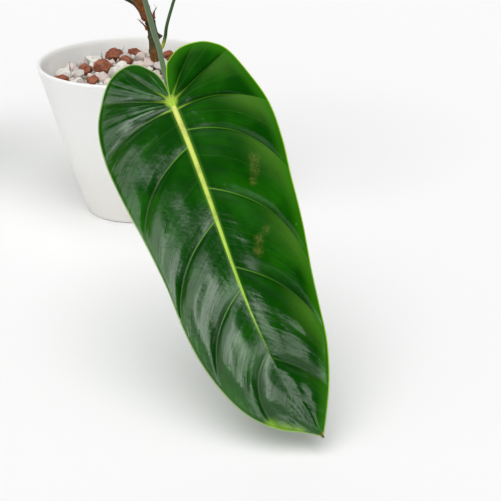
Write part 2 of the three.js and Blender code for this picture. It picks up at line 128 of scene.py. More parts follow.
def new_material(name, *grains):
    """Returns the material, its tree, the object's own coordinates in it, and a noise for each of the grains,
    which are given as (cells in mm, detail)."""
    material = bpy.data.materials.new(name)
    material.use_nodes = True
    tree = material.node_tree
    place = add(tree, "ShaderNodeTexCoord").outputs["Object"]
    noises = [
        add(tree, "ShaderNodeTexNoise", {"Vector": place, "Scale": scale_of(mm), "Detail": detail})
        for mm, detail in grains
    ]
    return material, tree, place, *noises


def amount(tree, *bands):
    """The product of some bands, each given as (value, low, high, bottom, top): it goes smoothly from bottom
    to top, or from 0 to 1, while the value goes from low to high."""
    product = None
    for value, low, high, *ends in bands:
        bottom, top = ends or (0, 1)
        band = add(tree, "ShaderNodeMapRange", {
            "Value": value, "From Min": low, "From Max": high, "To Min": bottom, "To Max": top},
            interpolation_type="SMOOTHSTEP")
        product = band if product is None else add(
            tree, "ShaderNodeMath", {0: product, 1: band}, operation="MULTIPLY")
    return product.outputs[0]


def finish_material(material, colour, layers, roughness, bumps, specular=0.5):
    """layers are laid over the colour, each as strongly as the bands after it say. bumps is a list of (height
    socket, depth in mm), the coarsest first."""
    tree = material.node_tree
    for hex_colour, *bands in layers:
        colour = add(tree, "ShaderNodeMix", {
            0: amount(tree, *bands), 6: colour, 7: linear(hex_colour)}, data_type="RGBA").outputs[2]
    shader = tree.nodes["Principled BSDF"]
    for name, value in (("Base Color", colour), ("Roughness", roughness), ("Specular IOR Level", specular)):
        if isinstance(value, float):
            shader.inputs[name].default_value = value
        else:
            tree.links.new(value, shader.inputs[name])
    under = {}
    for height, depth in bumps:
        bump = add(tree, "ShaderNodeBump", {
            "Height": height, "Distance": depth * MM, "Strength": 1.0, **under})
        under = {"Normal": bump}
    if under:
        tree.links.new(bump.outputs[0], shader.inputs["Normal"])
    return material


def fill_mesh(mesh, shell):
    """Gives the mesh the faces of a bmesh, turned outwards and smoothly shaded."""
    bmesh.ops.recalc_face_normals(shell, faces=shell.faces)
    shell.to_mesh(mesh)
    shell.free()
    mesh.shade_smooth()
    return mesh


def round_off(shell, angle, width):
    """Joins the faces that are nearly level, and bevels the edges between the others."""
    bmesh.ops.dissolve_limit(shell, angle_limit=math.radians(angle), verts=shell.verts, edges=shell.edges)
    bmesh.ops.bevel(shell, geom=shell.edges[:], offset=width, segments=2, profile=0.6, affect="EDGES")
    bmesh.ops.triangulate(shell, faces=shell.faces)


def mesh_of(name, points, faces):
    """points in millimetres"""
    mesh = bpy.data.meshes.new(name)
    mesh.from_pydata((np.asarray(points) * MM).tolist(), [], [list(f) for f in faces])
    shell = bmesh.new()
    shell.from_mesh(mesh)
    return fill_mesh(mesh, shell)


def give(mesh, name, values):
    layer = mesh.attributes.new(name, "FLOAT", "POINT")
    layer.data.foreach_set("value", np.ascontiguousarray(values, dtype=np.float32).ravel())


def new_object(name, data):
    made = bpy.data.objects.new(name, data)
    bpy.context.collection.objects.link(made)
    return made


def piece(name, mesh, materials, slot, *nodes):
    """Makes the mesh a piece of the plant that stands for these nodes."""
    for material in materials:
        mesh.materials.append(material)
    made = new_object(name, mesh)
    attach(made, BODY)
    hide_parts(*nodes)
    return made


def mesh_from_nodes(name, host_mesh, tree, values):
    """Runs a geometry tree over the host mesh and returns the result as a plain mesh."""
    host = new_object(name, host_mesh)
    modifier = host.modifiers.new(name, "NODES")
    modifier.node_group = tree
    for socket in tree.interface.items_tree:
        if socket.in_out == "INPUT" and socket.name in values:
            modifier[socket.identifier] = values[socket.name]
    host.update_tag()
    seen = host.evaluated_get(bpy.context.evaluated_depsgraph_get())
    made = bpy.data.meshes.new_from_object(seen)
    bpy.data.objects.remove(host)
    made.name = name
    return made


def geometry_tree(name, inputs):
    tree = bpy.data.node_groups.new(name, "GeometryNodeTree")
    tree.interface.new_socket("Geometry", in_out="INPUT", socket_type="NodeSocketGeometry")
    for label, kind in inputs.items():
        tree.interface.new_socket(label, in_out="INPUT", socket_type=f"NodeSocket{kind}")
    tree.interface.new_socket("Geometry", in_out="OUTPUT", socket_type="NodeSocketGeometry")
    return tree, tree.nodes.new("NodeGroupInput").outputs, tree.nodes.new("NodeGroupOutput")


def random_turn(tree, lean, seed):
    """Turns each thing some way round, and leans it by no more than lean to any side."""
    other_way = add(tree, "ShaderNodeMath", {0: lean, 1: -1.0}, operation="MULTIPLY")
    least = add(tree, "ShaderNodeCombineXYZ", {0: other_way, 1: other_way, 2: 0.0})
    most = add(tree, "ShaderNodeCombineXYZ", {0: lean, 1: lean, 2: 6.28})
    turn = add(tree, "FunctionNodeRandomValue", {0: least, 1: most, "Seed": seed}, data_type="FLOAT_VECTOR")
    return turn.outputs[0]


# Curves, tubes and sheets

def smooth_route(points, steps):
    """A centripetal Catmull-Rom curve through the points"""
    p = np.array(points, float)
    p = np.vstack([2 * p[0] - p[1], p, 2 * p[-1] - p[-2]])
    line = []
    for corners in zip(p, p[1:], p[2:], p[3:]):
        knots = np.cumsum([0] + [np.linalg.norm(b - a) ** 0.5 for a, b in zip(corners, corners[1:])])
        for t in np.linspace(knots[1], knots[2], steps, endpoint=False):
            level = list(corners)
            for reach in (1, 2):
                level = [
                    ((knots[i + reach] - t) * level[i] + (t - knots[i]) * level[i + 1])
                    / (knots[i + reach] - knots[i])
                    for i in range(len(level) - 1)
                ]
            line.append(((knots[2] - t) * level[0] + (t - knots[1]) * level[1]) / (knots[2] - knots[1]))
    line.append(p[-2])
    return np.array(line)


def lengths_along(line):
    return np.concatenate([[0], np.cumsum(np.linalg.norm(np.diff(line, axis=0), axis=1))])


def walls_between(rings):
    """The faces between rings of points, which are rows of the points' numbers"""
    beside = np.roll(rings, -1, axis=1)
    return np.stack([rings[:-1], beside[:-1], beside[1:], rings[1:]], axis=-1).reshape(-1, 4).tolist()


def tube(line, radii, sides):
    """Rings round a line. radii has one radius for each ring, or one for each of its points."""
    radii = radii.reshape(len(line), -1)
    ways = np.gradient(line, axis=0)
    ways /= np.linalg.norm(ways, axis=1)[:, None]
    first = np.cross(ways[0], (0.0, 1.0, 0.0))
    turns = 2 * np.pi * np.arange(sides) / sides
    rings = []
    for centre, way, radius in zip(line, ways, radii):
        first = first - way * np.dot(first, way)
        first /= np.linalg.norm(first)
        second = np.cross(way, first)
        rings.append(
            centre + radius[:, None] * (np.outer(np.cos(turns), first) + np.outer(np.sin(turns), second))
        )
    points = np.concatenate(rings)
    index = np.arange(len(points)).reshape(len(line), sides)
    return points, walls_between(index) + [index[0].tolist(), index[-1].tolist()]


def closed_sheet(outer, inner):
    """A closed skin over two grids of points. Returns the points, the outer faces and the others."""
    rows, columns = outer.shape[:2]
    points = np.concatenate([outer.reshape(-1, 3), inner.reshape(-1, 3)])
    index = np.arange(rows * columns).reshape(rows, columns)
    quads = np.stack([index[:-1, :-1], index[:-1, 1:], index[1:, 1:], index[1:, :-1]], axis=-1)
    quads = quads.reshape(-1, 4)
    rim = np.concatenate([index[0, :-1], index[:-1, -1], index[-1, :0:-1], index[:0:-1, 0]])
    after = np.roll(rim, -1)
    walls = np.stack([rim, rim + rows * columns, after + rows * columns, after], axis=-1)
    return points, quads, np.concatenate([quads[:, ::-1] + rows * columns, walls])


def smoothstep(value, low, high):
    t = np.clip((value - low) / (high - low), 0, 1)
    return t * t * (3 - 2 * t)


# Leaves. The numbers are those of the model's solids, but for the fine relief and one blade's place.

BLADE_LENGTH, BLADE_HALF_WIDTH, BLADE_THICKNESS = 241, 57, 0.9
BLADE_ARCH, BLADE_DROOP, ROOF_SHARE = 14, 10, 0.4
MIDRIB_BOW, MIDRIB_TIP_RADIUS, MIDRIB_SINK = 9.5, 0.75, 0.55
QUILT_DEPTH, QUILT_FOLD, QUILT_LEAN = 3, 0.7, 0.7
WAVE_HEIGHT = 1.3
VEIN_REACH, HALVES_OVERLAP = 0.6, 0.4
VEIN_SPANS = 8
MAIN_VEINS, MINOR_VEINS = np.arange(1, 8), np.arange(0.5, 8)
# The fine relief. Depths are in mm, widths in spans between two main veins.
GROOVE_WIDTH, CREASE_DEPTH, CREASE_WIDTH = 0.09, 0.35, 0.05
LARGE_DENTS, SMALL_DENTS, MARGIN_ROLL = 1.1, 0.5, 0.7
# Crinkles round the heart of the blade, in mm: how high, how wide, and how far out they reach
CRINKLE_HEIGHT, CRINKLE_WIDTH, CRINKLE_REACH = 0.2, 3.6, 42

# Root of the vein on the midrib, its angle there, and where it meets the margin, along and across.
# Every second row is a main vein.
RIGHT_ROWS = np.array([
    (0, 171, -26, 7.8), (0, 157, -32.4, 18.8), (0, 141, -32.6, 32), (0, 127, -28.6, 41.6),
    (1, 114, -19.3, 49.6), (3, 106, 1.5, 55.4), (7, 98, 26, 59.3), (13, 88, 52, 57), (22, 80, 76, 52),
    (40, 69, 108, 45.8), (63, 61, 139, 38), (90, 58, 162, 33), (117, 55, 182, 28.8),
    (148, 53, 198, 23.4), (180, 50, 213, 16.8), (208, 38, 229, 7.8), (241, 30, 241, 0),
], float)
LEFT_ROWS = np.array([
    (0, 190, -24, -2), (0, 164, -34, -10.5), (0, 145, -36, -20.8), (0, 130, -31.8, -32.8),
    (1, 118, -20, -44), (3, 106, -3.6, -53.4), (6, 95, 19.6, -57.3), (17, 85, 48, -56.5),
    (33, 74, 80, -53.8), (56, 68, 111, -52.5), (85, 66, 141, -53.8), (110, 66, 166.4, -52.3),
    (132, 63, 190.6, -46.7), (154, 58, 209.6, -38), (175, 55, 224, -25), (206, 45, 233.4, -10),
    (241, 30, 241, 0),
], float)
HALVES = ((RIGHT_ROWS, 1), (LEFT_ROWS, -1))

LEAVES = {
    "front": dict(
        route=[
            (9.5, 26, 207.5), (12.5, 8, 214.5), (16.5, -17, 220), (20.5, -47, 223), (25.5, -77, 222.5),
            (34.5, -127, 218), (41.5, -167, 215), (47.5, -199, 213.5), (52, -227, 211), (57, -257, 207.5),
        ],
        foot=2.6, neck=1.8, scale=1, base=(63.6, -296.8, 202.7),
        along=(0.413, -0.464, -0.784), up=(-0.016, -0.864, 0.503),
        rows_per_span=26, columns=72, stalk_steps=9, stalk_sides=20,
    ),
    "left": dict(
        route=[
            (14.5, 27, 183.5), (10.5, 27, 192.5), (4.5, 28, 199), (-4, 29, 203.5), (-18, 31, 209.5),
            (-52.5, 35, 227.5), (-92.5, 43, 248.5), (-124.5, 51, 260.5),
        ],
        # The base is 0.4 mm off that of the solids, so that the finer margin stays in the model's box.
        foot=3.9, neck=2, scale=0.9, base=(-152.5, 58.8, 263.6),
        along=(-0.72, 0.24, -0.65), up=(-0.55, -0.35, 0.76),
        rows_per_span=16, columns=44, stalk_steps=8, stalk_sides=18,
    ),
    "right": dict(
        route=[
            (21.5, 27, 148.5), (28.5, 27, 154.5), (32, 28, 164.5), (34, 28, 175.5), (42, 29, 200.5),
            (54.5, 33, 236.5), (75.5, 40, 285.5), (101.5, 49, 325.5),
        ],
        foot=1.6, neck=1.15, scale=0.74, base=(127.5, 57.2, 344.6),
        along=(0.66, 0.3, -0.69), up=(0.45, -0.5, 0.74),
        rows_per_span=16, columns=44, stalk_steps=8, stalk_sides=16,
    ),
}


def blade_arch(along):
    return BLADE_ARCH * np.sin(np.pi * along / BLADE_LENGTH)


def midrib_bow(along):
    return -MIDRIB_BOW * np.sin(np.pi * np.clip(along / BLADE_LENGTH, 0, 1) ** 1.7)


def midrib_radius(leaf, along):
    return np.interp(along, (0, BLADE_LENGTH), (leaf["neck"], MIDRIB_TIP_RADIUS))


def rib_half_width(leaf, along):
    """How far the midrib's own colour spreads on the blade beside it, in the blade's millimetres"""
    return midrib_radius(leaf, along) / leaf["scale"] * (1 - 0.5 * smoothstep(along, 30, 180))


def row_at(rows, v):
    place = np.minimum(2 * v, len(rows) - 1.0001)
    i = np.floor(place).astype(int)
    f = (place - i)[:, None]
    before, here, after, beyond = (rows[np.clip(i + k, 0, len(rows) - 1)] for k in (-1, 0, 1, 2))
    return 0.5 * (
        2 * here + (after - before) * f + (2 * before - 5 * here + 4 * after - beyond) * f ** 2
        + (3 * here - before - 3 * after + beyond) * f ** 3
    )


def vein_spots(rows, side, v, q):
    """Flat places (along, across) on a half blade: v counts the veins, q runs out along each of them."""
    root, angle, margin_along, margin_across = row_at(rows, np.atleast_1d(v)).T[:, :, None]
    start = np.stack([root, midrib_bow(root) - side * HALVES_OVERLAP])
    end = np.stack([margin_along, margin_across])
    reach = VEIN_REACH * np.hypot(*(end - start))
    lean = np.radians(angle)
    via = start + reach * np.stack([np.cos(lean), side * np.sin(lean)])
    q = np.atleast_1d(q)[None, None, :]
    return (1 - q) ** 2 * start + 2 * q * (1 - q) * via + q ** 2 * end


def noise_over(points, seed):
    offset = Vector((seed, -seed, 2 * seed))
    values = [noise.noise(Vector(point) + offset) for point in points.reshape(-1, 3)]
    return np.array(values).reshape(points.shape[:-1])


def blade_height(spots, side, v, q):
    """The model's own relief, with finer grooves at the veins and small dents between them"""
    along, across = spots
    v, q = v[:, None], q[None, :]
    # As in the solids: the arch, the quilting between the veins and the wave of the margin
    out = np.abs(across - midrib_bow(along)) / BLADE_HALF_WIDTH
    body = blade_arch(along) - BLADE_DROOP * (ROOF_SHARE * out + (1 - ROOF_SHARE) * out ** 2)
    strength = smoothstep(v, 0, 3) * smoothstep(8 - v, 0, 1.5)
    lean = (v % 1) ** QUILT_LEAN
    fold = np.abs(np.sin(np.pi * lean)) ** QUILT_FOLD - 0.4
    swell = smoothstep(q, 0, 0.25) * smoothstep(1 - q, 0, 0.5)
    quilt = QUILT_DEPTH * (0.25 + 0.75 * strength) * fold * swell
    wave = WAVE_HEIGHT * q ** 2 * np.sin(2.2 * v + side)
    # The fine relief, which comes up and fades out again between the midrib and the margin
    bay = np.sin(np.pi * q)
    groove = np.exp(-((v - np.round(v)) / GROOVE_WIDTH) ** 2) * bay ** 0.5
    groove = groove * (0.35 + 0.65 * smoothstep(v, 1, 3))
    crease = CREASE_DEPTH * np.exp(-((v % 1 - 0.5) / CREASE_WIDTH) ** 2) * bay
    grid = np.stack(np.broadcast_arrays(2.6 * v, 2.2 * q, 4.0 * side), axis=-1)
    dents = LARGE_DENTS * noise_over(grid, 3) + SMALL_DENTS * noise_over(2.4 * grid, 9)
    dents = dents * bay * (0.4 + 0.6 * strength)
    crinkles = CRINKLE_HEIGHT * noise_over(np.stack([along, across, 0 * along], axis=-1) / CRINKLE_WIDTH, 5)
    crinkles = crinkles * np.exp(-np.hypot(along, across) ** 2 / CRINKLE_REACH ** 2) * bay ** 0.5
    roll = MARGIN_ROLL * smoothstep(q, 0.92, 1)
    return body + quilt + wave - groove - crease + dents + crinkles - roll


def nearest(spots, others):
    """Distance in mm from each spot to the nearest of the others"""
    flat = spots.reshape(2, -1)
    best = np.full(flat.shape[1], 1e9)
    for x, y in others.reshape(2, -1).T:
        best = np.minimum(best, np.hypot(flat[0] - x, flat[1] - y))
    return best.reshape(spots.shape[1:])


def blade_axes(leaf):
    along = np.array(leaf["along"]) / np.linalg.norm(leaf["along"])
    up = np.array(leaf["up"]) - along * np.dot(leaf["up"], along)
    up /= np.linalg.norm(up)
    return along, np.cross(up, along), up


def on_blade(leaf, along, across, height, lift):
    """A place in the model's frame, from one in the blade's own millimetres. lift is in real ones."""
    ways = blade_axes(leaf)
    sizes = (leaf["scale"] * np.asarray(size)[..., None] for size in (along, across, height))
    return np.array(leaf["base"]) + sum(size * way for size, way in zip(sizes, ways)) + lift * ways[2]


# Patches of another colour on the front blade: along, across, radius
PATCHES = {
    "yellowed": [(227, -21, 5.5), (220, -28, 5), (232, -13, 4.5)],
    "scarred": [(58, 34, 4.5), (66, 31, 4), (72, 27, 3), (108, 15, 4), (115, 11, 4), (104, 22, 3)],
}


def margin_spots(rows, side):
    """Places close together round the outer edge of a half blade, its notch included"""
    outer = vein_spots(rows, side, np.linspace(0, VEIN_SPANS, 500), 1)
    notch = vein_spots(rows, side, 0, np.linspace(0.1, 1, 60))
    return np.concatenate([outer.reshape(2, -1), notch.reshape(2, -1)], axis=1)


def blade_marks(leaf, patches, rows, side, v, q):
    """What the skins need to know of each point: distances in the blade's millimetres, and where it lies"""
    spots = vein_spots(rows, side, v, q)
    along, across = spots
    main, minor = (veins[np.abs(v[:, None] - veins).argmin(axis=1)] for veins in (MAIN_VEINS, MINOR_VEINS))
    marks = dict(
        vein=np.hypot(*(spots - vein_spots(rows, side, main, q))),
        minor=np.hypot(*(spots - vein_spots(rows, side, minor, q))),
        edge=nearest(spots, margin_spots(rows, side)),
        heart=np.hypot(along, across),
        tip=np.hypot(along - BLADE_LENGTH, across),
        # From the midrib, in times its own width
        rib=np.hypot(np.minimum(along, 0), across - midrib_bow(along)) / rib_half_width(leaf, along),
        # Out along its vein, by the number of veins passed, on the right (1) or the left half (-1)
        run=q[None, :], count=v[:, None], half=float(side),
    )
    for name, places in patches.items():
        marks[name] = sum(np.exp(-((along - x) ** 2 + (across - y) ** 2) / r ** 2) for x, y, r in places)
    return marks


def build_blade(leaf, patches, materials, name, node):
    t = np.linspace(0, 1, leaf["rows_per_span"], endpoint=False)
    # The rows stand closer together at the veins.
    eased = 0.5 * t + 0.5 * (0.5 - 0.5 * np.cos(np.pi * t))
    v = np.concatenate([*(k + eased for k in range(VEIN_SPANS)), [VEIN_SPANS]])
    q = np.linspace(0, 1, leaf["columns"] + 1)
    points, upper_faces, other_faces, marks = [], [], [], {}
    first = 0
    for rows, side in HALVES:
        spots = vein_spots(rows, side, v, q)
        height = blade_height(spots, side, v, q)
        upper, lower = (on_blade(leaf, *spots, height, lift) for lift in (0, -BLADE_THICKNESS))
        made, outer, others = closed_sheet(upper, lower)
        points.append(made)
        upper_faces.append(outer + first)
        other_faces.append(others + first)
        first += len(made)
        for label, value in blade_marks(leaf, patches, rows, side, v, q).items():
            value = np.broadcast_to(value, spots.shape[1:]).ravel()
            marks.setdefault(label, []).extend([value, value])
    faces = np.concatenate(upper_faces + other_faces)
    mesh = mesh_of(name, np.concatenate(points), faces)
    for label, value in marks.items():
        give(mesh, label, np.concatenate(value))
    under = np.zeros(len(faces), np.int32)
    under[sum(len(f) for f in upper_faces):] = 1
    mesh.polygons.foreach_set("material_index", under)
    return piece(name, mesh, materials, "leaf", node)


def build_stalk(leaf, material, name, node):
    """The petiole, and the midrib that it runs on into, which sinks deeper in the blade towards the tip"""
    along = np.arange(6, BLADE_LENGTH, 21)
    sunk = MIDRIB_SINK + 0.7 * smoothstep(along, 20, 200)
    on_midrib = [
        on_blade(leaf, a, midrib_bow(a), blade_arch(a), -depth * midrib_radius(leaf, a))
        for a, depth in zip(along, sunk)
    ]
    tip = on_blade(leaf, BLADE_LENGTH, 0, 0, -BLADE_THICKNESS / 2)
    line = smooth_route([*leaf["route"], *on_midrib, tip], leaf["stalk_steps"])
    far = lengths_along(line)
    petiole = far[-1] - BLADE_LENGTH * leaf["scale"]
    run = (far - petiole) / leaf["scale"]
    share = np.clip(far / petiole, 0, 1)
    # The petiole tapers, and is swollen where it leaves the stem.
    tapered = (leaf["foot"] + (leaf["neck"] - leaf["foot"]) * share) * (1 + 0.27 * np.exp(-12 * share))
    radii = np.where(run > 0, midrib_radius(leaf, run), tapered)
    mesh = mesh_of(name, *tube(line, radii, leaf["stalk_sides"]))
    give(mesh, "run", np.repeat(run, leaf["stalk_sides"]))
    return piece(name, mesh, [material], "leaf", node)


# Stem and old sheaths

STEM_RADIUS, STEM_FOOT_SWELL, STEM_NODE_SWELL, STEM_ROOM, STEM_SIDES = 3.6, 2.9, 0.7, 5.3, 40
BUD_HEIGHT, BUD_TURN, BUD_LENGTH, BUD_WIDTH = 165, math.pi, 3.4, 2.2
# The bark, in mm: its lengthwise ribs, the scars of old leaves, and how deep it lies under the solid's skin
RIB_HEIGHT, SCAR_HEIGHT, BARK_DEPTH = 0.45, 0.35, 0.25
STEM_ROUTE = [
    (23, 29, 109.5), (22.5, 29, 131.5), (21, 29, 151.5), (20, 28, 169.5), (16.5, 28, 185.5),
    (11.5, 27, 199.5), (7.5, 27, 212.5), (4.5, 26, 223.5),
]
STEM_LINE = smooth_route(STEM_ROUTE, 24)
STEM_SHARE = lengths_along(STEM_LINE) / lengths_along(STEM_LINE)[-1]
SHEATHS = {
    "sheath_tip": dict(low=181, high=215, facing=-116, reach=74, lean=2.5, points=3),
    "sheath_left": dict(low=172, high=183, facing=200, reach=36, lean=6, points=1),
    "sheath_right": dict(low=183, high=194, facing=-4, reach=32, lean=6, points=1),
}
SHEATH_THICKNESS, CLEARANCE = 0.9, 0.35
# How far the torn edge comes down between two points, and how ragged it is, coarsely and finely, as shares
# of the sheath's height; and the creases, in mm
TEAR_DEPTH, TEAR_RAGGED, TEAR_FRAYED, PAPER_CREASE = 0.24, 0.07, 0.05, 0.3


def stem_nodes(t):
    """Goes up by a half from each of the stem's nodes to the next."""
    return t * 4 + 0.1


def stem_radius(t):
    swell = STEM_NODE_SWELL * np.cos(2 * np.pi * stem_nodes(t)) ** 8
    tip = np.sqrt(np.maximum(0, 1 - np.maximum(0, (t - 0.9) / 0.1) ** 2))
    return (STEM_RADIUS + STEM_FOOT_SWELL * (1 - t) + swell) * (0.12 + 0.88 * tip)


def build_stem(material):
    turns = 2 * np.pi * np.arange(STEM_SIDES) / STEM_SIDES
    far = STEM_SHARE * lengths_along(STEM_LINE)[-1]
    rings = np.broadcast_arrays(1.6 * np.cos(turns), 1.6 * np.sin(turns), 0.05 * far[:, None])
    scars = SCAR_HEIGHT * np.exp(-(stem_nodes(STEM_SHARE) % 0.5 * 30) ** 2)[:, None]
    # The stub of an old bud, towards the right
    stub = BUD_LENGTH * np.exp(-((STEM_LINE[:, 2:] - BUD_HEIGHT) / BUD_WIDTH) ** 2)
    stub = stub * np.clip(np.cos(turns - BUD_TURN), 0, 1) ** 10
    bare = stem_radius(STEM_SHARE)[:, None]
    # The ribs' height is that of a stem 12 mm thick.
    ribs = RIB_HEIGHT * noise_over(np.stack(rings, axis=-1), 11) * bare / 6
    radii = bare - BARK_DEPTH + ribs + scars + stub
    mesh = mesh_of("stem_bark", *tube(STEM_LINE, radii, STEM_SIDES))
    return piece("stem_bark", mesh, [material], "stem", "stem")


def build_sheath(name, material):
    """A torn papery sheath round the stem, thinning to frayed points"""
    sheath = SHEATHS[name]
    rows, columns = 34, 24 * sheath["points"] + 25
    outer, inner = np.zeros((2, rows, columns, 3))
    for j in range(columns):
        across = 2 * j / (columns - 1) - 1
        tear = TEAR_RAGGED * noise.noise((9 * across, 1, sheath["facing"]))
        tear += TEAR_FRAYED * noise.noise((31 * across, 5, 0))
        if sheath["points"] > 1:
            tear += TEAR_DEPTH * abs(math.cos(math.pi * sheath["points"] * across / 2))
        for i in range(rows):
            up = i / (rows - 1) * (1 - 0.3 * across ** 2 - tear)
            height = sheath["low"] + (sheath["high"] - sheath["low"]) * up
            point = np.array([np.interp(height, STEM_LINE[:, 2], STEM_LINE[:, k]) for k in range(3)])
            t = np.interp(height, STEM_LINE[:, 2], STEM_SHARE)
            turn = math.radians(sheath["facing"] + sheath["reach"] * (1 - 0.55 * up ** 2) * across)
            crease = PAPER_CREASE * noise.noise((6 * across, 1.5 * up, 7 + sheath["facing"]))
            offset = stem_radius(t) + 2 * CLEARANCE + sheath["lean"] * up ** 2 + crease
            thickness = SHEATH_THICKNESS * (1 - 0.55 * up)
            way = np.array([math.cos(turn), math.sin(turn), 0])
            outer[i, j] = point + way * (offset + thickness)
            inner[i, j] = point + way * offset
    points, faces, others = closed_sheet(outer, inner)
    mesh = mesh_of(name + "_paper", points, np.concatenate([faces, others]))
    return piece(name + "_paper", mesh, [material], "sheath", name)


def fray(paper, node, material, tree, seed):
    """Loose fibres along a sheath: about one to every 18 square mm, up to 7 mm long"""
    fibres = mesh_from_nodes(node + "_fibres", paper.data.copy(), tree, {
        "Count per area": 0.055 / MM ** 2, "Fibre length": 7 * MM, "Fibre radius": 0.16 * MM,
        "Tip radius": 0.03 * MM, "Shortest": 0.4, "Lean": 0.6, "Seed": seed, "Fibre skin": material})
    return piece(node + "_fibres", fibres, [], "sheath", node)


def fibre_tree():
    """Sets thin tapered fibres over a surface, nearly upright."""
    tree, given, result = geometry_tree("frayed_fibres", {
        "Count per area": "Float", "Fibre length": "Float", "Fibre radius": "Float", "Tip radius": "Float",
        "Shortest": "Float", "Lean": "Float", "Seed": "Int", "Fibre skin": "Material"})
    places = add(tree, "GeometryNodeDistributePointsOnFaces", {
        "Mesh": given["Geometry"], "Density": given["Count per area"], "Seed": given["Seed"]},
        distribute_method="RANDOM")
    fibre = add(tree, "GeometryNodeMeshCone", {
        "Vertices": 5, "Side Segments": 3, "Radius Top": given["Tip radius"],
        "Radius Bottom": given["Fibre radius"], "Depth": given["Fibre length"]})
    turn = random_turn(tree, given["Lean"], given["Seed"])
    size = add(tree, "FunctionNodeRandomValue", {2: given["Shortest"], 3: 1.0, "Seed": given["Seed"]},
               data_type="FLOAT")
    placed = add(tree, "GeometryNodeInstanceOnPoints", {
        "Points": places.outputs["Points"], "Instance": fibre.outputs["Mesh"],
        "Rotation": turn, "Scale": size.outputs[1]})
    real = add(tree, "GeometryNodeRealizeInstances", {0: placed})
    skinned = add(tree, "GeometryNodeSetMaterial", {0: real, "Material": given["Fibre skin"]})
    tree.links.new(skinned.outputs[0], result.inputs[0])
    return tree


# Stones

POT_HEIGHT, RIM_RADIUS, FOOT_RADIUS, WALL, FLOOR = 150, 89, 52.5, 4, 5
DRAIN_HOLES, DRAIN_RADIUS, DRAIN_CIRCLE = 4, 5, 27
BED_EDGE, BED_MIDDLE, HEAP, HEAP_SPREAD = 130, 134, 7, 49
STEM_FOOT = (STEM_ROUTE[1][0], STEM_ROUTE[1][1], STEM_ROOM)
STONE_SEED, STONE_SPACING, ROW_SPACING, STONE_JITTER, LAVA_CHANCE = 20417, 16, 0.87, 0.3, 0.22
LAVA_PLACES = [
    (-22, 51, 11), (-28, 13, 10), (-8, 29, 7.5), (-47, 14, 8), (-34, -21, 6.5), (-2, 62, 7.5),
    (32, 60, 7.5), (43, 18, 6.5),
]
LAVA_DRAWN, LAVA_SIZE, PUMICE_SIZE = 10, (6.5, 9.5), (7, 9.5)


def bed_height(x, y):
    out = min(1, math.hypot(x, y) / RIM_RADIUS)
    heap = HEAP * math.exp(-(x ** 2 + (y - 45) ** 2) / HEAP_SPREAD ** 2)
    return BED_MIDDLE + (BED_EDGE - BED_MIDDLE) * out ** 2 + heap


def wall_radius(z):
    return FOOT_RADIUS + (RIM_RADIUS - FOOT_RADIUS) / POT_HEIGHT * z - WALL


def drawn_numbers(seed):
    """The small generator that the model's own stones are drawn with"""
    state = seed
    while True:
        state = (state * 1664525 + 1013904223) % 4294967296
        yield state / 4294967296


def apart(stone, others, share):
    """Whether a stone keeps this share of the two radii together from every one of the others"""
    x, y, r = stone
    return all(math.hypot(x - a, y - b) > share * (r + s) for a, b, s in others)


def stone_places():
    """The model's own places, as (x, y, radius), of its lava and of its pumice"""
    draw = drawn_numbers(STONE_SEED)
    lava, pumice, grid = list(LAVA_PLACES), [], []
    for row in range(-6, 7):
        for column in range(-6, 7):
            shift = 0.5 if row % 2 else 0
            x = STONE_SPACING * (column + shift) + STONE_SPACING * STONE_JITTER * (next(draw) - 0.5)
            y = STONE_SPACING * ROW_SPACING * row + STONE_SPACING * STONE_JITTER * (next(draw) - 0.5)
            r = PUMICE_SIZE[0] + (PUMICE_SIZE[1] - PUMICE_SIZE[0]) * next(draw)
            rim = wall_radius(bed_height(x, y) - r) - 0.6 - r
            out = math.hypot(x, y)
            if out < rim + 5:
                grid.append((x * min(1, rim / out), y * min(1, rim / out), r))
    for x, y, r in grid:
        turns_lava = next(draw) < LAVA_CHANCE and len(lava) < len(LAVA_PLACES) + LAVA_DRAWN
        radius = LAVA_SIZE[0] + (LAVA_SIZE[1] - LAVA_SIZE[0]) * next(draw)
        as_lava = (x * 0.96, y * 0.96, radius)
        if turns_lava and apart(as_lava, [STEM_FOOT], 1) and apart(as_lava, lava, 1.2):
            lava.append(as_lava)
        elif apart((x, y, r), lava, 0.75):
            pumice.append((x, y, r))
    return lava, pumice


def chip_places(lava, pumice, count, sizes, seed):
    """Smaller stones in the gaps between the large ones"""
    draw = random.Random(seed)
    x, y, room = STEM_FOOT
    chips = []
    neighbours = ((lava, 0.9), ([(x, y, room + 2)], 1), (pumice, 0.72), (chips, 0.85))
    for _ in range(count):
        turn, far, r = draw.uniform(0, 2 * math.pi), math.sqrt(draw.random()), draw.uniform(*sizes)
        out = far * (wall_radius(BED_EDGE) - r - 1.5)
        chip = (out * math.cos(turn), out * math.sin(turn), r)
        if all(apart(chip, stones, share) for stones, share in neighbours):
            chips.append(chip)
    return chips


def stone_shapes(count, corners, seed):
    """Rounded lumps with flat faces, one unit in radius, for the tree to choose from"""
    draw = random.Random(seed)
    shapes = bpy.data.collections.new("stone_shapes")
    for i in range(count):
        lump = bmesh.new()
        for _ in range(corners):
            way = Vector([draw.gauss(0, 1) for _ in range(3)]).normalized()
            lump.verts.new(way * draw.uniform(0.92, 1.08))
        hull = bmesh.ops.convex_hull(lump, input=lump.verts)
        bmesh.ops.delete(lump, geom=list(set(hull["geom_interior"] + hull["geom_unused"])), context="VERTS")
        round_off(lump, angle=12, width=0.1)
        mesh = fill_mesh(bpy.data.meshes.new(f"stone_shape_{i}"), lump)
        shapes.objects.link(bpy.data.objects.new(f"stone_shape_{i}", mesh))
    return shapes


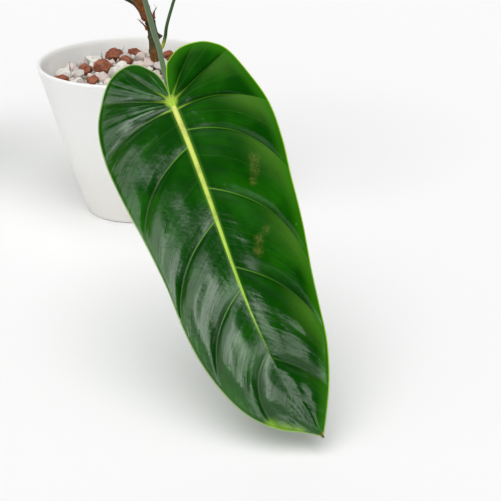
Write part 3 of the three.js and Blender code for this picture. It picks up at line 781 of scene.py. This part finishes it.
def stone_tree():
    """Lays one of the shapes, turned at random, on each place, at the size that the place carries."""
    tree, given, result = geometry_tree("laid_stones", {
        "Shapes": "Collection", "Shape count": "Int", "Flatness": "Float", "Tilt": "Float",
        "Seed": "Int", "Stone skin": "Material"})
    shapes = add(tree, "GeometryNodeCollectionInfo", {"Collection": given["Shapes"]})
    shapes.inputs["Separate Children"].default_value = True
    shapes.inputs["Reset Children"].default_value = True
    last = add(tree, "ShaderNodeMath", {0: given["Shape count"], 1: 1.0}, operation="SUBTRACT")
    which = add(tree, "FunctionNodeRandomValue", {4: 0, 5: last, "Seed": given["Seed"]}, data_type="INT")
    turn = random_turn(tree, given["Tilt"], given["Seed"])
    radius = add(tree, "GeometryNodeInputNamedAttribute", {"Name": "radius_of_stone"}, data_type="FLOAT")
    flat = add(tree, "ShaderNodeMath", {0: radius, 1: given["Flatness"]}, operation="MULTIPLY")
    size = add(tree, "ShaderNodeCombineXYZ", {0: radius, 1: radius, 2: flat})
    placed = add(tree, "GeometryNodeInstanceOnPoints", {
        "Points": given["Geometry"], "Instance": shapes, "Pick Instance": True,
        "Instance Index": which.outputs[2], "Rotation": turn, "Scale": size})
    tint = add(tree, "FunctionNodeRandomValue", {"Seed": given["Seed"]}, data_type="FLOAT")
    tinted = add(tree, "GeometryNodeStoreNamedAttribute", {
        "Geometry": placed, "Name": "tint", "Value": tint.outputs[1]}, data_type="FLOAT", domain="INSTANCE")
    real = add(tree, "GeometryNodeRealizeInstances", {0: tinted})
    skinned = add(tree, "GeometryNodeSetMaterial", {0: real, "Material": given["Stone skin"]})
    tree.links.new(skinned.outputs[0], result.inputs[0])
    return tree


def lay_stones(name, places, material, shapes, tree, depth, seed):
    """depth is how deep the stones lie in the bed, as a share of their radius."""
    host = bpy.data.meshes.new(name)
    host.from_pydata([(x * MM, y * MM, (bed_height(x, y) - depth * r) * MM) for x, y, r in places], [], [])
    give(host, "radius_of_stone", [r * MM for _, _, r in places])
    laid = mesh_from_nodes(name, host, tree, {
        "Shapes": shapes, "Shape count": len(shapes.objects), "Flatness": 0.85, "Tilt": 0.5, "Seed": seed,
        "Stone skin": material})
    return piece(name, laid, [], "pumice", "pumice_bed")


def lathe(profile, facets):
    """A closed turned form. The profile runs from the axis to the axis."""
    profile = np.array(profile, float)
    turns = 2 * np.pi * np.arange(facets) / facets
    ring = np.stack([np.cos(turns), np.sin(turns)], axis=-1)
    inside = profile[1:-1]
    points = [(0, 0, profile[0][1]), (0, 0, profile[-1][1])]
    points += [(r * x, r * y, z) for r, z in inside for x, y in ring]
    index = 2 + np.arange(len(inside) * facets).reshape(len(inside), facets)
    faces = walls_between(index)
    faces += [(0, b, a) for a, b in zip(index[0], np.roll(index[0], -1))]
    faces += [(1, a, b) for a, b in zip(index[-1], np.roll(index[-1], -1))]
    return points, faces


def build_bed_filling(material):
    profile = [
        (0, FLOOR + CLEARANCE), (wall_radius(FLOOR) - 5, FLOOR + CLEARANCE),
        (wall_radius(FLOOR + 6) - 0.6, FLOOR + 6), (wall_radius(BED_EDGE - 8) - 0.6, BED_EDGE - 8),
        (wall_radius(BED_EDGE) * 0.6, BED_MIDDLE - 7), (0, BED_MIDDLE - 5),
    ]
    mesh = mesh_of("pumice_filling", *lathe(profile, facets=64))
    return piece("pumice_filling", mesh, [material], "pumice", "pumice_bed")


def build_lava_stone(node, material):
    """The node's own facets, rounded off, made uneven and eaten into by gas holes"""
    stone = bmesh.new()
    stone.from_mesh(frame["nodes"][node].data)
    bmesh.ops.remove_doubles(stone, verts=stone.verts, dist=1e-5)
    round_off(stone, angle=4, width=0.8 * MM)
    bmesh.ops.subdivide_edges(stone, edges=stone.edges[:], cuts=3, use_grid_fill=True)
    bmesh.ops.triangulate(stone, faces=stone.faces)
    stone.normal_update()
    for corner in stone.verts:
        # Lumps 4.5 and 1.9 mm across, and holes 2.6 mm apart
        spot = corner.co / MM
        lumps = 0.9 * noise.noise(spot / 4.5) + 0.5 * noise.noise(spot / 1.9)
        holes = max(0, 0.42 - noise.voronoi(spot / 2.6)[0][0]) * 2.2
        corner.co += corner.normal * (min(0.35, lumps) - holes - 0.25) * MM
    mesh = fill_mesh(bpy.data.meshes.new(node + "_rock"), stone)
    return piece(node + "_rock", mesh, [material], "lava", node)


# Pot

def build_pot(material):
    # The rim's rounding, as steps inwards and down from where it is widest and highest
    rim = [(0.35, 1.8), (0.38, 1.1), (0.7, 0.4), (1.3, 0.05), (1.9, 0), (2.7, 0.05), (3.4, 0.45)]
    # From the middle of the underside over the rim to the middle of the floor
    profile = [
        (0, 0), (FOOT_RADIUS * 0.5, 0), (FOOT_RADIUS - 2.6, 0), (FOOT_RADIUS - 1.4, 0.15),
        (FOOT_RADIUS - 0.2, 0.8), *((wall_radius(z) + WALL, z) for z in (2.2, 4, 50, 100, 146)),
        *((RIM_RADIUS - inwards, POT_HEIGHT - down) for inwards, down in rim),
        *((wall_radius(z), z) for z in (POT_HEIGHT - 1.2, 145, 100, 50, FLOOR + 5)),
        (wall_radius(FLOOR + 2) - 1.2, FLOOR + 1.6), (wall_radius(FLOOR) - 4, FLOOR),
        (FOOT_RADIUS * 0.4, FLOOR), (0, FLOOR),
    ]
    body = new_object("pot_form", mesh_of("pot_form", *lathe(profile, facets=192)))
    drills = []
    for i in range(DRAIN_HOLES):
        turn = 2 * math.pi * (i + 0.5) / DRAIN_HOLES
        bore = [(0, -3), (DRAIN_RADIUS, -3), (DRAIN_RADIUS, FLOOR + 3), (0, FLOOR + 3)]
        points, faces = lathe(bore, facets=32)
        points = np.array(points) + (DRAIN_CIRCLE * math.cos(turn), DRAIN_CIRCLE * math.sin(turn), 0)
        drill = new_object("drill", mesh_of("drill", points, faces))
        cut = body.modifiers.new("drain_hole", "BOOLEAN")
        cut.object = drill
        drills.append(drill)
    bpy.context.view_layer.update()
    mesh = bpy.data.meshes.new_from_object(body.evaluated_get(bpy.context.evaluated_depsgraph_get()))
    for spare in [body, *drills]:
        bpy.data.objects.remove(spare)
    mesh.name = "pot_shell"
    mesh.set_sharp_from_angle(angle=math.radians(50))
    return piece("pot_shell", mesh, [material], "pot", "pot")


# Materials

def matte_polypropylene():
    """Injection-moulded polypropylene: white, half matt, with the faint orange peel of its mould."""
    # The real peel is 0.3 mm across; it is drawn coarser so that it shows.
    material, tree, place, clouds, peel = new_material(
        "polypropylene_moulded_matt_white", (45.5, 3), (0.91, 1))
    height = add(tree, "ShaderNodeSeparateXYZ", {0: place}).outputs["Z"]
    return finish_material(material, linear("#f1f1f0"), [
        ("#ebeae7", (clouds, 0.45, 0.75, 0, 0.6)),
        # Painted shade, darker towards the foot, by the height in metres
        ("#dcd8d0", (height, 0.12, 0, 0, 0.6)),
    ], amount(tree, (clouds, 0.3, 0.7, 0.42, 0.52)), [(peel, 0.02)])


def pumice_stone():
    """Pumice: frothy volcanic glass, chalk white to pale pink and grey, full of fine open pores."""
    material, tree, place, clouds, grit = new_material("pumice_stone", (4.17, 4), (0.5, 2))
    pores = add(tree, "ShaderNodeTexVoronoi", {"Vector": place, "Scale": scale_of(1.25)})
    pits = amount(tree, (pores.outputs["Distance"], 0, 0.42))
    return finish_material(material, linear("#e8e6df"), [
        ("#e4d3cb", ("tint", 0.45, 0.62, 0, 0.9)),
        ("#c4c1be", ("tint", 0.8, 0.9, 0, 0.8)),
        ("#c2ada2", (clouds, 0.45, 0.75, 0, 0.5)),
        ("#a08b80", (pits, 0.5, 0, 0, 0.45)),
    ], 0.95, [(clouds, 0.9), (pits, 0.35), (grit, 0.12)], specular=0.25)


def lava_rock():
    """Scoria: red-brown cooled lava, rough and dull, with dark gas holes and a rusty bloom."""
    material, tree, place, clouds, grit = new_material("scoria_lava_rock", (7.7, 5), (0.59, 3))
    holes = add(tree, "ShaderNodeTexVoronoi", {"Vector": place, "Scale": scale_of(1.61)})
    pits = amount(tree, (holes.outputs["Distance"], 0.05, 0.5))
    return finish_material(material, linear("#8d5039"), [
        ("#ab6c53", (clouds, 0.4, 0.7)),
        ("#c99a86", (grit, 0.48, 0.72, 0, 0.6)),
        ("#52291d", (pits, 0.55, 0, 0, 0.75)),
    ], 0.97, [(clouds, 0.8), (pits, 0.5), (grit, 0.2)], specular=0.2)


def upright_fibres(tree, place, apart_mm, length_mm, detail):
    """Streaks side by side, so far apart and so long"""
    across = scale_of(apart_mm)
    grid = add(tree, "ShaderNodeMapping", {"Vector": place, "Scale": (across, across, scale_of(length_mm))})
    return add(tree, "ShaderNodeTexNoise", {"Vector": grid, "Scale": 1, "Detail": detail})


def stem_bark():
    """Living stem skin: olive to brown, dull, with lengthwise fibres and a corky orange foot."""
    material, tree, place, clouds = new_material("stem_skin_corky", (6.67, 4))
    fibres = upright_fibres(tree, place, 0.83, 15.4, 4)
    height = add(tree, "ShaderNodeSeparateXYZ", {0: place}).outputs["Z"]
    # The height in metres, uneven by up to 35 mm
    ragged = add(tree, "ShaderNodeMath", {0: clouds, 1: 0.035, 2: height}, operation="MULTIPLY_ADD")
    return finish_material(material, linear("#3d3a16"), [
        ("#80501a", (ragged, 0.18, 0.16, 0, 0.9)),
        ("#5a3818", (ragged, 0.205, 0.235, 0, 0.9)),
        ("#353b1c", (clouds, 0.5, 0.72, 0, 0.6)),
        ("#2c2414", (fibres, 0.52, 0.7, 0, 0.6)),
        ("#8f8150", (fibres, 0.42, 0.3, 0, 0.5)),
    ], 0.72, [(clouds, 0.5), (fibres, 0.35)])


def dried_sheath():
    """A dead leaf sheath: dry brown paper over stiff lengthwise fibres, frayed pale at the tears."""
    material, tree, place, clouds = new_material("dried_sheath_fibrous", (5.26, 3))
    fibres = upright_fibres(tree, place, 0.625, 12.5, 3)
    return finish_material(material, linear("#84490f"), [
        ("#66350c", (clouds, 0.45, 0.7, 0, 0.9)),
        ("#42220a", (fibres, 0.5, 0.68, 0, 0.8)),
        ("#bf8038", (fibres, 0.42, 0.28, 0, 0.8)),
    ], 0.85, [(clouds, 0.4), (fibres, 0.4)])


def striations(tree):
    """Fine ribs side by side along the veins. The real ones are 0.7 mm apart; here they are 2 mm."""
    skin = add(tree, "ShaderNodeCombineXYZ", {0: "count", 1: "run", 2: "half"})
    # Fourteen to each span between two veins, broken up about twice along their run, other ones on each half
    grid = add(tree, "ShaderNodeMapping", {"Vector": skin, "Scale": (14, 2.4, 40)})
    return add(tree, "ShaderNodeTexNoise", {"Vector": grid, "Scale": 1, "Detail": 3})


def leaf_top():
    """The upper skin of a living blade: deep green tissue under a glossy wax, yellow-green at the margin."""
    # Soft clouds, the wrinkles of scarred skin, and puckers, the mesh of the smallest veins
    material, tree, place, clouds, wrinkles, puckers = new_material(
        "leaf_skin_glossy_upper", (35.7, 3), (2, 3), (3.03, 1))
    past_vein = add(tree, "ShaderNodeMath", {0: "count"}, operation="FRACT")
    ribs = striations(tree)
    # Pale specks, 0.5 mm across
    specks = add(tree, "ShaderNodeTexVoronoi", {"Vector": place, "Scale": scale_of(14.3)})
    layers = [
        ("#155502", (clouds, 0.46, 0.7)),
        ("#042e00", (ribs, 0.45, 0.7, 0, 0.4)),
        # Painted shade in the grooves over the main veins
        ("#032800", ("vein", 4, 0.5, 0, 0.5)),
        # On the right half each bay is painted paler just past its vein, out towards the margin: a painted
        # sheen where the surface rises from the groove.
        ("#47781f", (past_vein, 0.65, 0.02, 0, 0.75), ("run", 0.3, 0.75), ("half", -1, 1, 0.15, 1),
         ("tip", 25, 70), ("count", 1.2, 3, 0.15, 1)),
        ("#2f6d0a", ("minor", 0.7, 0.1, 0, 0.2)),
        # Painted light shining through the thin blade: a wider paler green band along the margin, weaker on
        # the left half
        ("#2c6e06", ("edge", 9, 1.5, 0, 0.7), ("half", -1, 1, 0.3, 1)),
        # The veins fade towards the margin and the tip, and are palest at the heart.
        ("#56911a", ("vein", 0.65, 0.2), ("run", 0.6, 0.05, 0.15, 0.9), ("heart", 210, 80, 0.25, 1)),
        ("#93b52d", ("vein", 1.2, 0.3), ("heart", 15, 3, 0, 0.7)),
        ("#b5cb48", ("heart", 5.5, 1.5)),
        # A painted sheen: a pale halo on both sides of the midrib, fading out towards the tip
        ("#639a2c", ("rib", 2.6, 1, 0, 0.35), ("heart", 190, 120)),
        ("#9fc63a", ("rib", 1.25, 0.75), ("heart", 190, 120)),
        ("#78a80c", ("yellowed", 0.1, 1.1, 0, 0.75)),
        ("#9ac62c", ("edge", 1, 0.4, 0, 0.85)),
        # A painted highlight: a pale grey-green line along the left half's margin
        ("#8fa873", ("edge", 1, 0.4, 0, 0.8), ("half", 1, -1)),
        ("#76783a", (wrinkles, 0.42, 0.62, 0.1, 0.36), ("scarred", 0.2, 0.9)),
        ("#a8b48a", (specks.outputs["Distance"], 0.025, 0.015, 0, 0.6)),
        ("#c58a36", ("tip", 4, 2)),
    ]
    # The wax is dull in the grooves over the veins.
    roughness = add(tree, "ShaderNodeMath", {
        0: amount(tree, (ribs, 0.35, 0.65, 0.14, 0.24)), 1: amount(tree, ("vein", 2.4, 0.5, 0, 0.25))},
        operation="ADD").outputs[0]
    # On the right half it shines less, away from the midrib and the tip, and least on the steep fold before
    # each vein.
    dull = amount(
        tree, (past_vein, 0.45, 0.75, 0.6, 1), ("half", -1, 1), ("run", 0.08, 0.3), ("tip", 40, 110, 0.15, 1))
    return finish_material(
        material, linear("#063e00"), layers, roughness, [(clouds, 0.5), (puckers, 0.12), (ribs, 0.26)],
        specular=amount(tree, (dull, 0, 1, 0.4, 0.06)))


def leaf_back():
    """The lower skin of a blade: paler, softer green, hardly glossy, with light veins."""
    material, tree, _, clouds = new_material("leaf_skin_dull_lower", (28.6, 3))
    ribs = striations(tree)
    return finish_material(material, linear("#4f7f2e"), [
        ("#5f8f3a", (clouds, 0.4, 0.7)),
        ("#467426", (ribs, 0.5, 0.72, 0, 0.4)),
        ("#8fb257", ("vein", 1.3, 0.4)),
        ("#78a044", ("minor", 0.8, 0.2, 0, 0.5)),
        ("#a3cf2f", ("edge", 1.1, 0.5)),
    ], 0.55, [(clouds, 0.5), (ribs, 0.06)])


def petiole_skin(name, stops):
    """A leaf stalk's smooth, faintly blotched skin. stops: its colours by the mm past the blade's foot"""
    material, tree, _, blotches, grain = new_material(name, (8.33, 3), (1.25, 2))
    least, most = stops[0][0], stops[-1][0]
    share = add(tree, "ShaderNodeMapRange", {"Value": "run", "From Min": least, "From Max": most})
    ramp = add(tree, "ShaderNodeValToRGB", {0: share})
    while len(ramp.color_ramp.elements) < len(stops):
        ramp.color_ramp.elements.new(0.5)
    for element, (run, hex_colour) in zip(ramp.color_ramp.elements, stops):
        element.position = (run - least) / (most - least)
        element.color = linear(hex_colour)
    layers = [("#34501c", (blotches, 0.45, 0.75, 0, 0.35))]
    return finish_material(
        material, ramp.outputs[0], layers, 0.42, [(blotches, 0.3), (grain, 0.05)], specular=0.35)


def seamless_paper():
    """Matt white background paper without any gloss, so that it stays even under the leaf."""
    material, _, _, tooth = new_material("background_paper_matt", (1.11, 2))
    layers = [("#ececec", (tooth, 0.4, 0.7, 0, 0.2))]
    return finish_material(material, linear("#f0f0f0"), layers, 1.0, [], specular=0.0)


def light_world():
    """Reflections see a pale ceiling, a pale wall behind the plant, and a curtained window and soft glows in
    front of it, in a dim room. All other light comes evenly, a little stronger from the front."""
    world = bpy.data.worlds.new("studio_air")
    bpy.context.scene.world = world
    world.use_nodes = True
    tree = world.node_tree
    way = add(tree, "ShaderNodeTexCoord").outputs["Generated"]
    x, y, z = add(tree, "ShaderNodeSeparateXYZ", {0: way}).outputs
    lit = add(tree, "ShaderNodeMath", {
        0: amount(tree, (z, *CEILING)), 1: amount(tree, (y, *BACK_WALL))}, operation="MAXIMUM")
    glows = [amount(tree, *((axis, *reach) for axis, reach in zip((x, z, y), WINDOW)))]
    for turn, height, edge, core, strength in GLOWS:
        turn, height, edge, core = (math.radians(angle) for angle in (turn, height, edge, core))
        towards = (math.sin(turn) * math.cos(height), -math.cos(turn) * math.cos(height), math.sin(height))
        facing = add(tree, "ShaderNodeVectorMath", {0: way, 1: towards}, operation="DOT_PRODUCT")
        glows.append(amount(tree, (facing.outputs["Value"], math.cos(edge), math.cos(core), 0, strength)))
    for glow in glows:
        lit = add(tree, "ShaderNodeMath", {0: lit, 1: glow}, operation="ADD")
    ray = add(tree, "ShaderNodeLightPath").outputs
    mirrored = add(tree, "ShaderNodeMix", {
        0: ray["Is Glossy Ray"], 2: amount(tree, (y, *ROOM)), 3: lit}, data_type="FLOAT")
    level = add(tree, "ShaderNodeMix", {0: ray["Is Camera Ray"], 2: mirrored, 3: BACKDROP}, data_type="FLOAT")
    air = tree.nodes["Background"]
    air.inputs["Color"].default_value = linear("#ffffff")
    tree.links.new(level.outputs[0], air.inputs["Strength"])


def build_floor(material):
    mesh = bpy.data.meshes.new("floor")
    corners = [(PAPER_REACH * x, PAPER_REACH * y, 0) for x, y in ((-1, -1), (1, -1), (1, 1), (-1, 1))]
    mesh.from_pydata(corners, [], [(0, 1, 2, 3)])
    mesh.materials.append(material)
    new_object("floor", mesh)


# The whole plant in its pot

bpy.context.scene.view_settings.view_transform = "Standard"
make_camera()
make_ceiling_light()
light_world()
build_floor(seamless_paper())

build_pot(matte_polypropylene())

pumice = pumice_stone()
lava_places, pumice_places = stone_places()
chips = chip_places(lava_places, pumice_places, count=4000, sizes=(3.2, 5.2), seed=7)
build_bed_filling(pumice)
shapes, stones = stone_shapes(count=10, corners=16, seed=5), stone_tree()
lay_stones("pumice_stones", pumice_places, pumice, shapes, stones, depth=0.05, seed=3)
lay_stones("pumice_chips", chips, pumice, shapes, stones, depth=0.3, seed=8)
for shape in list(shapes.objects):
    bpy.data.objects.remove(shape)
bpy.data.collections.remove(shapes)

scoria = lava_rock()
for node in sorted(frame["nodes"]):
    if node.startswith("lava_stone"):
        build_lava_stone(node, scoria)

build_stem(stem_bark())
sheath_skin, fibres = dried_sheath(), fibre_tree()
for seed, name in enumerate(SHEATHS):
    fray(build_sheath(name, sheath_skin), name, sheath_skin, fibres, seed)

PETIOLES = {
    "front": petiole_skin("petiole_skin_grey_green", [
        (-330, "#3c5433"), (-60, "#4f6b42"), (-12, "#5f7d42"), (0, "#d8dc78"), (45, "#c9d764"),
        (110, "#a2c648"), (170, "#568f1c"), (200, "#1f5f06"), (241, "#1f5f06")]),
    "left": petiole_skin("petiole_skin_dark_green", [
        (-216, "#6b3b12"), (-199, "#5f3510"), (-190, "#15270a"), (-40, "#244414"), (0, "#a9bf45"),
        (60, "#b0cb3f"), (200, "#1f5f06")]),
    "right": petiole_skin("petiole_skin_young_green", [
        (-320, "#c0bd3c"), (-296, "#a3ae36"), (-286, "#2a4a15"), (-40, "#2f5419"), (0, "#a9bf45"),
        (60, "#a6c23c"), (200, "#1f5f06")]),
}
blade_skins = [leaf_top(), leaf_back()]
for name, leaf in LEAVES.items():
    build_blade(leaf, PATCHES if name == "front" else {}, blade_skins, f"{name}_blade", f"leaf_{name}")
    build_stalk(leaf, PETIOLES[name], f"{name}_petiole", f"leaf_{name}")
